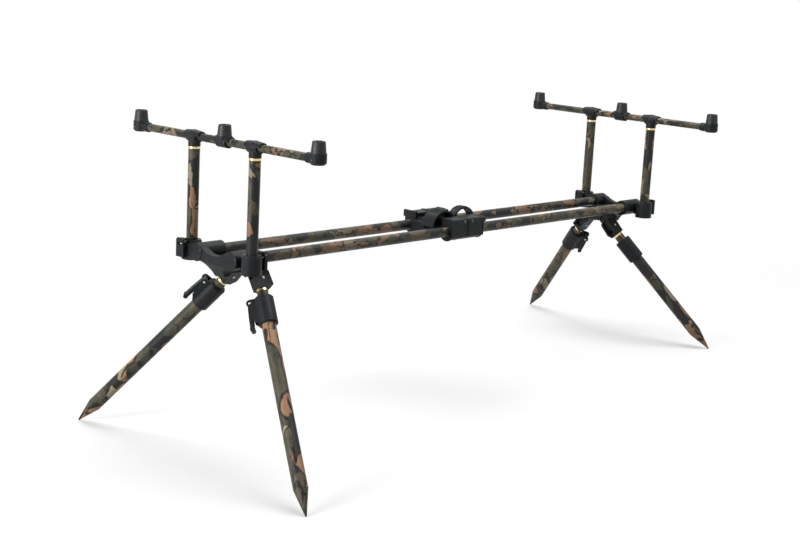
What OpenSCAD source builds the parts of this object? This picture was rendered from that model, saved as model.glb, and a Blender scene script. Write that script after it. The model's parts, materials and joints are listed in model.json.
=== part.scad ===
// Three-rod fishing rod pod: two folding bar pairs, two goalposts and four telescopic legs.
// Drawn with the bars level along X, then pitched so that the four spikes stand on the ground.

/* [Main bars] */
// Distance between the planes of the two goalposts
span = 900; // [760:1:1100]
// Distance between the axes of the two bars
bar_spacing = 74; // [72:0.5:84]
// Outer diameter of a bar
bar_d = 16; // [14:0.5:16.5]
// Wall of a bar
bar_wall = 1.5; // [1:0.1:2.5]
// How far the end blocks run past the plane of their goalpost
bar_overrun = 14; // [11:0.5:18]
// Wall that closes a knuckle over the end of its bar
end_wall = 3; // [2:0.5:4]

/* [Centre hinge] */
// Length of a bar collar on a hinge half
half_len = 36; // [32:0.5:46]
// Length of the web between the bars on a hinge half
web_len = 48; // [46:0.5:60]
// Wall of a bar collar
collar_wall = 6; // [5.5:0.1:7]
// Gap between the butting faces of the two halves
face_gap = 0.8; // [0.5:0.1:1.5]
// Depth of the fold pin below the bar axes
fold_drop = 14.4; // [14:0.1:16]
// Diameter of the fold pin
fold_pin_d = 4; // [3:0.5:4.5]
// Width of the middle knuckle
knuckle_w = 24; // [18:0.5:30]
// Overhang of the top plate past its collar
plate_overhang = 4; // [2:0.5:8]

/* [Latch levers] */
// Width of the front latch arch
front_latch_w = 24; // [20:0.5:25]
// Width of the rear latch arch
rear_latch_w = 14; // [12:0.5:16]
// Outer radius of the arch
latch_r = 27; // [24:0.5:28]
// Height of the arch above the bar axes
latch_top = 31; // [29:0.5:34]
// Thickness of the arch band
latch_t = 3.2; // [3:0.1:4]
// Shift of the front latch lever towards the left bar
front_latch_shift = 14; // [12:0.5:15]
// Shift of the rear latch lever towards the left bar
rear_latch_shift = 9; // [2:0.5:10]
// Distance of a latch pin from the middle of the pod
latch_pin_x = 8.5; // [7.5:0.5:10]
// Height of a latch pin above the bar axes
latch_pin_z = 15.5; // [15:0.1:16]
// Diameter of a latch pin
latch_pin_d = 3.6; // [3:0.1:4]

/* [End blocks] */
// Outer diameter of a knuckle round a bar end
knuckle_d = 25.4; // [24:0.1:26]
// Length of the inner knuckle of a bar end
inner_knuckle = 30; // [24:0.5:36]
// Outer diameter of an upright socket
socket_d = 28; // [25:0.5:28.4]
// Gap between an upright socket and the knuckle beside it
socket_gap = 0.3; // [0.3:0.1:6]
// Height of an upright socket above the bar axes
socket_top = 12.5; // [11:0.5:16]
// Depth of an upright socket below the bar axes
socket_bottom = 15; // [12:0.5:18]
// Thickness of the stop at the bottom of a socket
socket_stop = 3; // [2:0.5:4]
// Height of the saddle between the bars
saddle_z = 1; // [0:0.5:3]
// Distance from a socket axis to its clamp pin
clamp_pin_reach = 18; // [17.8:0.1:21]
// Width of a clamp lever
clamp_w = 16; // [14:0.5:18]
// Height of a clamp lever plate
clamp_h = 26; // [20:0.5:30]

/* [Goalposts] */
// Outer diameter of an upright
upright_d = 16; // [14:0.5:16.5]
// Height of the brass ring above the bar axes
post_ring_z = 141; // [110:1:220]
// Height of a brass ring
ring_h = 3; // [2:0.5:5]
// Height of the rod bar above the middle of the brass ring
tee_rise = 15.4; // [14:0.1:20]
// Length of a tee saddle along the rod bar
tee_len = 32; // [26:1:40]
// Distance between the outer rod rests
rest_spread = 371; // [320:1:440]
// Outer diameter of the rod bar
rod_bar_d = 11; // [10:0.5:12]
// Wall of a holder round the rod bar at its middle
holder_wall = 2.8; // [2.2:0.1:3.4]
// Wall of a holder at its ends
holder_lip = 1.2; // [0.8:0.1:1.8]
// Height of a rest cap
cap_h = 15.6; // [13:0.2:18]
// Diameter of a rest cap at its base
cap_base_d = 20.4; // [18:0.2:21]
// Diameter of a rest cap at its top
cap_top_d = 17.4; // [16:0.2:18]
// Diameter of the threaded socket for a bite alarm, three eighths of an inch
thread_d = 9.525; // [7.9:0.005:9.6]
// Wall of a threaded insert
insert_wall = 1.3; // [0.8:0.1:1.5]
// Depth of a threaded insert below the top of its cap
insert_recess = 3; // [1:0.5:4]

/* [Legs] */
// Splay of the legs to the side
splay = 41; // [36:0.5:44]
// Rake of the legs away from the middle
rake = 16.85; // [12:0.05:22]
// Distance of a leg pin from the plane of the goalpost
leg_pin_inset = 44.7; // [42:0.1:50]
// Distance of a leg pin from the middle plane
leg_pin_y = 31.3; // [29:0.1:34]
// Depth of a leg pin below the bar axes
leg_pin_drop = 34.3; // [33:0.1:38]
// Diameter of a leg pin
leg_pin_d = 5; // [4:0.5:6]
// Distance from a leg pin to the middle of its brass ring
ring_drop = 17.2; // [16:0.1:20]
// Ring to spike tip on a front leg
front_leg = 331; // [290:1:420]
// Ring to spike tip on a rear leg
rear_leg = 251; // [220:1:340]
// Outer diameter of the inner leg tube
inner_leg_d = 16; // [14:0.5:16]
// Outer diameter of the outer leg tube
outer_leg_d = 20; // [19.5:0.5:21]
// Wall of the leg tubes
leg_wall = 1.5; // [1:0.1:1.6]
// Width of a leg bracket
bracket_w = 17.4; // [16.6:0.1:18]
// Width of the lug inside a bracket
lug_w = 10.4; // [8:0.1:11]
// Length of the spike cone
spike_len = 37; // [28:1:45]

/* [Leg locks] */
// Diameter of a lock collar
lock_d = 27; // [26:0.5:29]
// Length of a lock collar
lock_len = 42; // [38:0.5:50]
// Bare inner tube between the ring and the lock
lock_drop = 11; // [8:0.5:16]
// Distance from the leg axis to the lever pin
lever_reach = 19; // [18.6:0.1:22]
// Length of a lock lever
lever_len = 38; // [36:1:50]
// Turn of a lock round its leg
lock_turn = 45; // [20:1:60]

/* [Clearances] */
// Radial clearance of a tube or pin in its seat
fit_gap = 0.05; // [0.02:0.01:0.1]
// Clearance between pieces that move past each other
run_gap = 0.4; // [0.3:0.05:0.6]

/* [Hidden] */
$fn = 64;
node = "all";
small = 0.02;
black = [0.13, 0.14, 0.15];
camo = [0.33, 0.29, 0.21];
brass = [0.80, 0.62, 0.26];
steel = [0.72, 0.73, 0.75];

ENDS = [["front", -1], ["rear", 1]];
SIDES = [["left", -1], ["right", 1]];
CORNERS = [for (e = ENDS, s = SIDES) [str(e[0], "_", s[0]), e[1], s[1]]];
END_PIECES = ["hinge_half", "bars", "latch_pin", "latch_lever", "yoke", "socket_arms", "arm_dowels",
    "leg_pins", "uprights", "upright_rings", "tees", "rod_bar", "rod_holders", "rest_caps",
    "alarm_inserts"];
CORNER_PIECES = ["clamp_lever", "leg_bracket", "leg_ring", "inner_leg", "outer_leg", "leg_lock",
    "lock_lever"];
NODES = concat(["fold_pin"],
    [for (e = ENDS, p = END_PIECES) str(e[0], "_", p)],
    [for (c = CORNERS, p = CORNER_PIECES) str(c[0], "_", p)]);

// Bars and centre hinge
bar_r = bar_d / 2;
bar_y = bar_spacing / 2;
end_x = span / 2;
face_x = end_x + bar_overrun;
collar_r = bar_r + collar_wall;
bar_inner_x = 4;
web_top = latch_pin_z - latch_pin_d / 2 - 0.7;
web_bottom = -9.5;
web_step_y = bar_y - bar_r - 2;
pocket_floor = 1.6;
pocket_gap = 1;
fold_r = fold_pin_d / 2 + 2.2;
outer_knuckle_w = 12;
knuckle_bridge = 14;
hook_r = 5;
arch_x = latch_r + 0.8;
arch_z = latch_top - latch_r;
function latch_y(end) = end > 0 ? -rear_latch_shift : front_latch_shift;
function latch_w(end) = end > 0 ? rear_latch_w : front_latch_w;
plate_t = 8;
plate_z = 12;
plate_in = 12;
housing_top = plate_z + plate_t;
housing_drop = 8;
lip_h = 2.6;
lip_t = 4;
corner_r = 4;
rib_x = 4;
rib_len = 32;
rib_w = 11;
rib_y = -6.5;
rib_top = 27.5;

// Knuckles and sockets
knuckle_r = knuckle_d / 2;
socket_r = socket_d / 2;
upright_r = upright_d / 2;
arm_len = knuckle_r + socket_gap + socket_r;
upright_y = bar_y + arm_len;
arm_top = 9;
arm_bottom = 12;
joint_gap = 0.3;
pin_proud = 0.3;
saddle_r = 43;
sweep_y = bar_y - 6;
sweep_z = -30;
sweep_r = 20;
yoke_plate = 10;
yoke_web_z = -5;
stem_bottom = -30;
stem_top = bar_y - 9;
stem_half = 9;
stem_face = -11;
stem_z = -25;
beam_inner_x = end_x - leg_pin_inset - 13;
beam_drop = -13;
beam_bottom = -24;
dowel_r = 1.4;
dowel_place = (bar_r + knuckle_r) / 2;
dowel_turn = 25;
dowel_hold = 10;
socket_rim = 2;
clamp_pin_r = 1.6;
clamp_pin_z = socket_top - 0.5;
clamp_ear_r = 3.6;
clamp_ear_w = 9;
clamp_plate_t = 4.6;
clamp_plate_in = clamp_pin_reach - 1.2;
clamp_plate_top = clamp_pin_z - clamp_ear_r - 1.4;

// Goalposts
rod_bar_z = post_ring_z + tee_rise;
rod_bar_r = rod_bar_d / 2;
holder_r = rod_bar_r + holder_wall;
lip_r = rod_bar_r + holder_lip;
tee_r = upright_r + 0.6;
tee_ball_r = holder_r + 1;
bar_inset = 3;
rest_y = rest_spread / 2;
cup_rim = 0.9;
cup_r = cap_base_d / 2 + cup_rim;
cup_h = 14.6;
cup_taper = 2.4;
cup_top = rod_bar_z + cup_h / 2;
shoulder_len = 9;
shoulder_fall = 1.5;
shoulder_r = cup_h / 2 - 0.2;
saddle_body = 20;
saddle_rise = 0.8;
saddle_fall = 0.6;
saddle_low = 1;
middle_len = 30;
thread_r = thread_d / 2;
insert_r = thread_r + insert_wall;
cap_floor = 1;
ring_proud = 0.3;
tee_stem = upright_r - bar_wall - fit_gap;
stem_len = 20;

// Legs
leg_pin_x = end_x - leg_pin_inset;
leg_pin_r = leg_pin_d / 2;
inner_leg_r = inner_leg_d / 2;
outer_leg_r = outer_leg_d / 2;
lug_r = 7;
block_in = 10;
block_out = 16;
block_h = 6;
swing_r = 18;
cheek_t = (bracket_w - lug_w) / 2 - run_gap;
back_top = 2;
flare = 15.2;
flare_drop = 8;
cheek_in = 10;
cheek_out = 14.6;
base_top = lug_r + run_gap + 0.6;
base_bottom = ring_drop - ring_h / 2;
spigot_len = 22;
tip_r = 1.2;
plug_len = 12;
lock_r = lock_d / 2;
lock_top = ring_drop + lock_drop;
lock_bottom = lock_top + lock_len;
tube_seat = 25;
outer_top = lock_bottom - tube_seat;
lever_pin_r = 1.6;
lever_pin_depth = lock_top + 6;
ear_r = 5.2;
ear_drop = 27;
ear_in = 5;
ear_out = 7.6;
lever_hub_r = 4;
strap_t = 5.4;
bulb_r = 3.4;
bulb_out = 3.4;

// Where the spikes stand
function leg_len(end) = ring_drop + (end < 0 ? front_leg : rear_leg);
function tip_x(end) = end * (leg_pin_x + leg_len(end) * sin(rake));
function tip_z(end) = -leg_pin_drop - leg_len(end) * cos(rake) * cos(splay);
pitch = atan2(tip_z(1) - tip_z(-1), tip_x(1) - tip_x(-1));
stand_h = tip_r + tip_x(1) * sin(pitch) - tip_z(1) * cos(pitch);
front_reach = tip_x(-1) * cos(pitch) + tip_z(-1) * sin(pitch) - tip_r;
rear_reach = (end_x + clamp_plate_in + clamp_plate_t) * cos(pitch) + clamp_pin_z * sin(pitch);
origin_shift = -(front_reach + rear_reach) / 2;

// Frames
module on_ground() { translate([origin_shift, 0, stand_h]) rotate([0, pitch, 0]) children(); }
module at_end(end) { rotate([0, 0, end > 0 ? 0 : 180]) children(); }
module along_x() { rotate([0, 90, 0]) children(); }
module along_y() { rotate([-90, 0, 0]) children(); }
// Extrudes an outline drawn in X and Z across Y
module across_y(w) { rotate([90, 0, 0]) linear_extrude(w, center = true) children(); }
// Extrudes an outline drawn in Y and Z along X from x0 to x1
module along_bar(x0, x1) {
    translate([x0, 0, 0]) rotate([90, 0, 90]) linear_extrude(x1 - x0) children();
}
// Origin on the leg pin, -Z down the leg, +X outboard, Y along the pin
module at_leg_pin(end, side) {
    turn = end * side;
    at_end(end) translate([leg_pin_x, turn * leg_pin_y, -leg_pin_drop])
        rotate([turn * splay, 0, 0]) children();
}
module at_leg(end, side) { at_leg_pin(end, side) rotate([0, -rake, 0]) children(); }
// The rear left lock is turned the other way round its leg
module at_lock(end, side) {
    at_leg(end, side) rotate([0, 0, end > 0 && side < 0 ? lock_turn : -lock_turn]) children();
}
// Origin on the bar axis in the goalpost plane, +Y outwards, the clamp lever on the -X side
module at_arm(end, side) {
    translate([end * end_x, side * bar_y, 0]) rotate([0, 0, side > 0 ? 0 : 180]) children();
}
// A bar of even width with round ends, in the plane
module slot2d(a, b, r) {
    reach = norm(b - a);
    translate(a) circle(r);
    translate(b) circle(r);
    translate(a) rotate(atan2(b[1] - a[1], b[0] - a[0])) translate([0, -r]) square([reach, 2 * r]);
}
module tube(r, wall, h) {
    difference() {
        cylinder(r = r, h = h);
        translate([0, 0, -small]) cylinder(r = r - wall, h = h + 2 * small);
    }
}

// Centre hinge, each half drawn for the rear
module fold_knuckle(y0, y1) {
    translate([0, y0, -fold_drop]) along_y() cylinder(r = fold_r, h = y1 - y0);
    translate([face_gap / 2, y0, -fold_drop - fold_r / 2])
        cube([knuckle_bridge, y1 - y0, fold_drop + fold_r / 2 + web_bottom + 1]);
}
// Section of a housing on its bar: a flat outer side, a raised top and a rounded corner between them
module housing_outline() {
    circle(collar_r);
    translate([0, -housing_drop]) square([collar_r, housing_drop + housing_top - corner_r]);
    top_outline();
}
module top_outline() {
    translate([-plate_in, plate_z]) square([plate_in + collar_r, plate_t - corner_r]);
    translate([-plate_in, plate_z]) square([plate_in + collar_r - corner_r, plate_t]);
    translate([collar_r - corner_r, housing_top - corner_r]) circle(corner_r);
}
// Draws a section made for the right bar on the bar of side s
module on_bar(s) { translate([s * bar_y, 0]) mirror([s < 0 ? 1 : 0, 0]) children(); }
// The raised top runs past the collar on the left bar, with a lip on the front half
module top_overhang(end) {
    plate_len = half_len + plate_overhang;
    along_bar(half_len, plate_len) on_bar(-1) top_outline();
    if (end < 0) along_bar(plate_len - lip_t, plate_len) on_bar(-1)
        translate([-plate_in, housing_top - corner_r]) square([plate_in + collar_r, lip_h + corner_r]);
}
// A rib beside the front latch lever
module catch_rib() {
    translate([0, rib_y, 0]) across_y(rib_w) polygon([[rib_x, 0], [rib_x + 3, rib_top],
        [rib_x + rib_len - 6, rib_top], [rib_x + rib_len, 0]]);
}
module hinge_half_body(end) {
    pocket_w = latch_w(end) + 2 * pocket_gap;
    difference() {
        union() {
            for (s = [-1, 1]) along_bar(face_gap / 2, half_len) on_bar(s) housing_outline();
            translate([face_gap / 2, -bar_y, web_bottom])
                cube([half_len - face_gap, bar_spacing, web_top - web_bottom]);
            translate([face_gap / 2, -web_step_y, web_bottom])
                cube([web_len, 2 * web_step_y, web_top - web_bottom - 3]);
            top_overhang(end);
            if (end < 0) catch_rib();
            if (end < 0) fold_knuckle(-knuckle_w / 2, knuckle_w / 2);
            else for (s = [-1, 1]) translate([0, s * (knuckle_w + outer_knuckle_w + 2 * joint_gap) / 2, 0])
                fold_knuckle(-outer_knuckle_w / 2, outer_knuckle_w / 2);
        }
        for (s = [-1, 1]) translate([bar_inner_x, s * bar_y, 0]) along_x()
            cylinder(r = bar_r + fit_gap, h = half_len + plate_overhang + web_len);
        translate([-small, latch_y(end) - pocket_w / 2, pocket_floor])
            cube([web_len + plate_overhang, pocket_w, collar_r * 2]);
        translate([latch_pin_x, -bar_spacing, latch_pin_z]) along_y()
            cylinder(d = latch_pin_d + 2 * fit_gap, h = 2 * bar_spacing);
        translate([0, -bar_y, -fold_drop]) along_y()
            cylinder(d = fold_pin_d + 2 * fit_gap, h = bar_spacing);
    }
}
module hinge_half(end) { color(black) at_end(end) hinge_half_body(end); }
module fold_pin() {
    pin_w = knuckle_w + 2 * outer_knuckle_w + 2 * joint_gap;
    color(steel) translate([0, -pin_w / 2, -fold_drop]) along_y() cylinder(d = fold_pin_d, h = pin_w);
}
module latch_pin(end) {
    pin_w = bar_spacing + 2 * collar_r + 2 * pin_proud;
    color(steel) at_end(end) translate([latch_pin_x, -pin_w / 2, latch_pin_z]) along_y()
        cylinder(d = latch_pin_d, h = pin_w);
}
module latch_lever(end) {
    color(black) at_end(end) translate([0, latch_y(end), 0]) difference() {
        across_y(latch_w(end)) {
            intersection() {
                translate([arch_x, arch_z]) difference() {
                    circle(latch_r);
                    circle(latch_r - latch_t);
                }
                union() {
                    translate([arch_x, pocket_floor + 5]) square([2 * latch_r, 2 * latch_r]);
                    translate([0, latch_pin_z]) square([arch_x + 1, 2 * latch_r]);
                }
            }
            translate([latch_pin_x, latch_pin_z]) circle(hook_r);
        }
        translate([latch_pin_x, -latch_w(end), latch_pin_z]) along_y()
            cylinder(d = latch_pin_d + 2 * fit_gap, h = 2 * latch_w(end));
    }
}
module bars(end) {
    color(camo) at_end(end) for (s = [-1, 1]) translate([bar_inner_x, s * bar_y, 0]) along_x()
        tube(bar_r, bar_wall, face_x - end_wall - fit_gap - bar_inner_x);
}

// End blocks, the yoke drawn for the rear
module yoke_outline() {
    difference() {
        union() {
            translate([-bar_y, -arm_bottom]) square([bar_spacing, arm_top + arm_bottom]);
            polygon([[-stem_top, -arm_bottom], [stem_top, -arm_bottom], [stem_half, stem_bottom],
                [-stem_half, stem_bottom]]);
        }
        translate([0, saddle_z + saddle_r]) circle(saddle_r);
        for (s = [-1, 1]) translate([s * sweep_y, sweep_z]) circle(sweep_r);
    }
}
// A plate at the face with a stem below it, and a lower web back to the lugs
module yoke_side() {
    plate_x = face_x - yoke_plate;
    knuckle_end = end_x - inner_knuckle;
    polygon([[face_x, arm_top], [face_x, stem_face], [end_x + 4, stem_z], [end_x + 1, stem_bottom],
        [end_x - 6, stem_bottom], [end_x - 9, beam_bottom], [beam_inner_x, beam_bottom],
        [beam_inner_x, beam_drop], [knuckle_end, beam_drop], [knuckle_end, yoke_web_z],
        [plate_x, yoke_web_z], [plate_x, arm_top]]);
}
module knuckle(x0, x1, s) { translate([x0, s * bar_y, 0]) along_x() cylinder(r = knuckle_r, h = x1 - x0); }
module dowel_at(s) {
    translate([0, s * bar_y + dowel_place * cos(dowel_turn), dowel_place * sin(dowel_turn)]) children();
}
module leg_lug() {
    across_y(lug_w) slot2d([0, 0], [0, swing_r + block_h - 2], lug_r);
    across_y(bracket_w) difference() {
        translate([-block_in, swing_r - block_h]) square([block_in + block_out, 2 * block_h]);
        circle(swing_r);
    }
}
module yoke(end) {
    color(black) at_end(end) difference() {
        union() {
            difference() {
                intersection() {
                    along_bar(beam_inner_x, face_x) yoke_outline();
                    across_y(bar_spacing * 2) yoke_side();
                }
                for (s = [-1, 1]) at_leg_pin(1, s) across_y(bracket_w + 4 * run_gap) circle(swing_r);
            }
            knuckle(end_x + joint_gap / 2, face_x, 1);
            knuckle(end_x - inner_knuckle, end_x - joint_gap / 2, -1);
            for (s = [-1, 1]) at_leg_pin(1, s) leg_lug();
        }
        knuckle_room(end_x - joint_gap / 2, face_x + 1, -1);
        knuckle_room(end_x - inner_knuckle - joint_gap, end_x + joint_gap / 2, 1);
        for (s = [-1, 1]) {
            translate([0, s * bar_y, 0]) along_x() cylinder(r = bar_r + fit_gap, h = face_x - end_wall);
            dowel_at(s) along_x() cylinder(r = dowel_r + fit_gap, h = face_x + 1);
            at_leg_pin(1, s) translate([0, -bracket_w, 0]) along_y()
                cylinder(r = leg_pin_r + fit_gap, h = 2 * bracket_w);
        }
    }
}
// Room in the yoke for the knuckle of a socket arm
module knuckle_room(x0, x1, s) {
    translate([x0, s * bar_y, 0]) along_x() cylinder(r = knuckle_r + joint_gap, h = x1 - x0);
    translate([x0, s > 0 ? bar_y : -bar_y - 2 * knuckle_r, -2 * knuckle_r])
        cube([x1 - x0, 2 * knuckle_r, 4 * knuckle_r]);
}
// An arm outboard of the goalpost plane closes over its bar, the other lets the bar through
module socket_arm(closed) {
    knuckle_x = -bar_overrun;
    dowel_y = (closed ? -1 : 1) * dowel_place * cos(dowel_turn);
    difference() {
        union() {
            translate([knuckle_x, 0, 0]) along_x() cylinder(r = knuckle_r, h = bar_overrun - joint_gap / 2);
            translate([knuckle_x, 0, -arm_bottom])
                cube([bar_overrun - joint_gap / 2, arm_len, arm_top + arm_bottom]);
            translate([0, arm_len, -socket_bottom])
                cylinder(r = socket_r, h = socket_bottom + socket_top - socket_rim);
            translate([0, arm_len, 0]) cylinder(r = socket_r - 1, h = socket_top);
            translate([0, arm_len, clamp_pin_z]) across_y(clamp_ear_w) {
                slot2d([-socket_r + 0.5, 0], [-clamp_pin_reach, 0], clamp_ear_r);
            }
        }
        translate([knuckle_x + (closed ? end_wall : -1), 0, 0]) along_x()
            cylinder(r = bar_r + fit_gap, h = bar_overrun + 2);
        translate([knuckle_x - 1, dowel_y, dowel_place * sin(dowel_turn)]) along_x()
            cylinder(r = dowel_r + fit_gap, h = bar_overrun + 2);
        translate([0, arm_len, -socket_bottom + socket_stop])
            cylinder(r = upright_r + fit_gap, h = 4 * socket_r);
        translate([0, arm_len, -socket_bottom - 1])
            cylinder(r = upright_r - bar_wall - 1, h = 4 * socket_r);
        translate([-clamp_pin_reach, arm_len - clamp_w, clamp_pin_z]) along_y()
            cylinder(r = clamp_pin_r + fit_gap, h = 2 * clamp_w);
    }
}
module socket_arms(end) { color(black) for (s = [-1, 1]) at_arm(end, s) socket_arm(end * s < 0); }
module arm_dowels(end) {
    start_x = end_x - dowel_hold;
    color(steel) at_end(end) for (s = [-1, 1]) dowel_at(s) translate([start_x, 0, 0]) along_x()
        cylinder(r = dowel_r, h = face_x - start_x + pin_proud);
}
// The pin is pressed into the lever's cheeks and turns in the ear
module clamp_lever(end, side) {
    cheek = (clamp_w - clamp_ear_w) / 2 - run_gap;
    plate_x = -clamp_plate_in - clamp_plate_t;
    color(black) at_arm(end, side) translate([0, arm_len, 0]) difference() {
        union() {
            translate([plate_x, -clamp_w / 2, clamp_pin_z + clamp_ear_r - clamp_h])
                cube([clamp_plate_t, clamp_w, clamp_h - clamp_pin_z - clamp_ear_r + clamp_plate_top]);
            for (s = [-1, 1]) translate([0, s * (clamp_w - cheek) / 2, 0]) across_y(cheek) {
                translate([-clamp_pin_reach, clamp_pin_z]) circle(clamp_ear_r);
                translate([plate_x, clamp_plate_top - 2])
                    square([clamp_plate_t, clamp_pin_z - clamp_plate_top + 2]);
            }
        }
        translate([-clamp_pin_reach, -clamp_w, clamp_pin_z]) along_y()
            cylinder(r = clamp_pin_r + fit_gap, h = 2 * clamp_w);
    }
    pin_w = clamp_w + 2 * pin_proud;
    color(steel) at_arm(end, side) translate([-clamp_pin_reach, arm_len - pin_w / 2, clamp_pin_z]) along_y()
        cylinder(r = clamp_pin_r, h = pin_w);
}

// Goalposts, drawn for the rear
module uprights(end) {
    foot_z = -socket_bottom + socket_stop + fit_gap;
    color(camo) at_end(end) for (s = [-1, 1]) translate([end_x, s * upright_y, foot_z])
        tube(upright_r, bar_wall, post_ring_z - ring_h / 2 - foot_z);
}
module upright_rings(end) {
    color(brass) at_end(end) for (s = [-1, 1]) translate([end_x, s * upright_y, post_ring_z - ring_h / 2])
        tube(upright_r + ring_proud, bar_wall + ring_proud, ring_h);
}
// A short barrel round the rod bar, with a longer lip over the bar's top
module saddle(len) {
    translate([0, 0, rod_bar_z]) {
        translate([0, -saddle_body / 2, 0]) along_y() cylinder(r = holder_r, h = saddle_body);
        intersection() {
            for (s = [-1, 1]) rotate([s * 90, 0, 0])
                cylinder(r1 = holder_r + saddle_rise, r2 = holder_r - saddle_fall, h = len / 2);
            translate([-2 * holder_r, -len, saddle_low]) cube([4 * holder_r, 2 * len, 2 * holder_r]);
        }
    }
}
module tee() {
    difference() {
        union() {
            saddle(tee_len);
            translate([0, 0, post_ring_z + ring_h / 2]) cylinder(r = tee_r, h = tee_rise - ring_h / 2);
            translate([0, 0, rod_bar_z]) sphere(r = tee_ball_r);
            translate([0, 0, post_ring_z - stem_len]) cylinder(r = tee_stem, h = stem_len + ring_h);
        }
        bar_room(2 * tee_len);
    }
}
module tees(end) { color(black) at_end(end) for (s = [-1, 1]) translate([end_x, s * upright_y, 0]) tee(); }
module rod_bar(end) {
    bar_len = rest_spread - 2 * bar_inset;
    color(camo) at_end(end) translate([end_x, -bar_len / 2, rod_bar_z]) along_y()
        tube(rod_bar_r, bar_wall, bar_len);
}
// A cup on the end of the rod bar, with a round shoulder towards the middle
module end_holder(s) {
    difference() {
        union() {
            translate([0, s * rest_y, cup_top - cup_h]) {
                cylinder(r1 = cup_r - cup_taper, r2 = cup_r, h = cup_taper);
                translate([0, 0, cup_taper]) cylinder(r = cup_r, h = cup_h - cup_taper);
            }
            translate([0, s * rest_y, rod_bar_z]) rotate([s * 90, 0, 0]) {
                cylinder(r = shoulder_r, h = cup_r + shoulder_len - shoulder_fall);
                translate([0, 0, cup_r + shoulder_len - shoulder_fall])
                    cylinder(r1 = shoulder_r, r2 = lip_r, h = shoulder_fall);
            }
        }
        bar_room(rest_spread - 2 * bar_inset + run_gap);
    }
}
module rod_holders(end) {
    color(black) at_end(end) difference() {
        translate([end_x, 0, 0]) holders();
        at_rests() cylinder(r = cup_r, h = cap_h);
    }
}
module holders() {
    for (s = [-1, 1]) end_holder(s);
    difference() {
        union() {
            saddle(middle_len);
            translate([0, 0, rod_bar_z]) cylinder(r = cup_r, h = cup_h / 2);
        }
        bar_room(2 * middle_len);
    }
}
// Room for the rod bar in what sits on it
module bar_room(len) {
    translate([0, -len / 2, rod_bar_z]) along_y() cylinder(r = rod_bar_r + fit_gap, h = len);
}
module at_rests() { for (s = [-1, 0, 1]) translate([end_x, s * rest_y, cup_top]) children(); }
module rest_caps(end) {
    color(black) at_end(end) at_rests() translate([0, 0, fit_gap]) difference() {
        union() {
            cylinder(d1 = cap_base_d, d2 = cap_top_d, h = cap_h - 1);
            translate([0, 0, cap_h - 1]) cylinder(d1 = cap_top_d, d2 = cap_top_d - 1.2, h = 1);
        }
        translate([0, 0, cap_floor]) cylinder(r = insert_r + fit_gap, h = cap_h);
    }
}
module alarm_inserts(end) {
    color(brass) at_end(end) at_rests() translate([0, 0, cap_floor + 2 * fit_gap]) difference() {
        cylinder(r = insert_r, h = cap_h - cap_floor - insert_recess);
        translate([0, 0, cap_floor]) cylinder(r = thread_r, h = cap_h);
    }
}

// Legs, each drawn on its pin
module leg_pins(end) {
    color(steel) at_end(end) for (s = [-1, 1]) at_leg_pin(1, s)
        translate([0, -bracket_w / 2 - pin_proud, 0]) along_y()
            cylinder(r = leg_pin_r, h = bracket_w + 2 * pin_proud);
}
module bracket_cheek() {
    intersection() {
        polygon([[-flare, -flare_drop], [-cheek_in, swing_r], [cheek_out, swing_r],
            [inner_leg_r + 0.6, -base_bottom], [-inner_leg_r, -base_bottom]]);
        union() {
            circle(swing_r - 2 * run_gap);
            translate([-swing_r, -swing_r]) square([2 * swing_r, swing_r]);
        }
    }
}
module leg_bracket(end, side) {
    color(black) at_leg(end, side) difference() {
        union() {
            for (s = [-1, 1]) translate([0, s * (bracket_w - cheek_t) / 2, 0])
                across_y(cheek_t) bracket_cheek();
            intersection() {
                across_y(bracket_w) bracket_cheek();
                union() {
                    translate([lug_r + run_gap, -bracket_w, -base_bottom])
                        cube([swing_r, 2 * bracket_w, base_bottom + back_top]);
                    translate([-inner_leg_r, -bracket_w, -base_bottom])
                        cube([4 * inner_leg_r, 2 * bracket_w, base_bottom - base_top]);
                }
            }
            translate([0, 0, -base_bottom - spigot_len])
                cylinder(r = inner_leg_r - leg_wall - fit_gap, h = spigot_len + 1);
        }
        translate([0, -bracket_w, 0]) along_y() cylinder(r = leg_pin_r + fit_gap, h = 2 * bracket_w);
        rotate([0, rake, 0]) across_y(lug_w + 2 * run_gap)
            slot2d([0, 0], [0, 2 * swing_r], lug_r + run_gap);
    }
}
module leg_ring(end, side) {
    color(brass) at_leg(end, side) translate([0, 0, -ring_drop - ring_h / 2])
        tube(inner_leg_r + ring_proud, leg_wall + ring_proud - fit_gap / 2, ring_h);
}
function spike_base(end) = leg_len(end) - spike_len;
module inner_leg(end, side) {
    top = ring_drop + ring_h / 2;
    bottom = spike_base(end) - plug_len - run_gap;
    color(camo) at_leg(end, side) translate([0, 0, -bottom]) tube(inner_leg_r, leg_wall, bottom - top);
}
// The tube, and the spike plugged into its end
module outer_leg(end, side) {
    base = spike_base(end);
    color(camo) at_leg(end, side) {
        translate([0, 0, fit_gap - base]) tube(outer_leg_r, leg_wall, base - outer_top - fit_gap);
        translate([0, 0, -base]) cylinder(r = outer_leg_r - leg_wall - fit_gap, h = plug_len);
        translate([0, 0, -base]) rotate_extrude() spike_profile();
    }
}
module spike_profile() {
    lean = atan2(outer_leg_r - tip_r, spike_len);
    difference() {
        union() {
            polygon([[0, 0], [outer_leg_r, 0], [tip_r * cos(lean), -spike_len - tip_r * sin(lean)],
                [0, -spike_len]]);
            translate([0, -spike_len]) circle(tip_r);
        }
        translate([-2 * tip_r, -2 * spike_len]) square([2 * tip_r, 2 * spike_len]);
    }
}
module lock_ear() {
    polygon([[lock_r - 4, -lock_top - 1.2], [lever_reach, -lever_pin_depth + ear_r],
        [lever_reach + ear_r, -lever_pin_depth], [lever_reach + 1.5, -lever_pin_depth - ear_r],
        [lever_reach - 0.5, -lever_pin_depth - ear_drop], [lock_r, -lock_bottom + 4],
        [lock_r - 4, -lock_bottom + 4]]);
    translate([lever_reach, -lever_pin_depth]) circle(ear_r);
}
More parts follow.
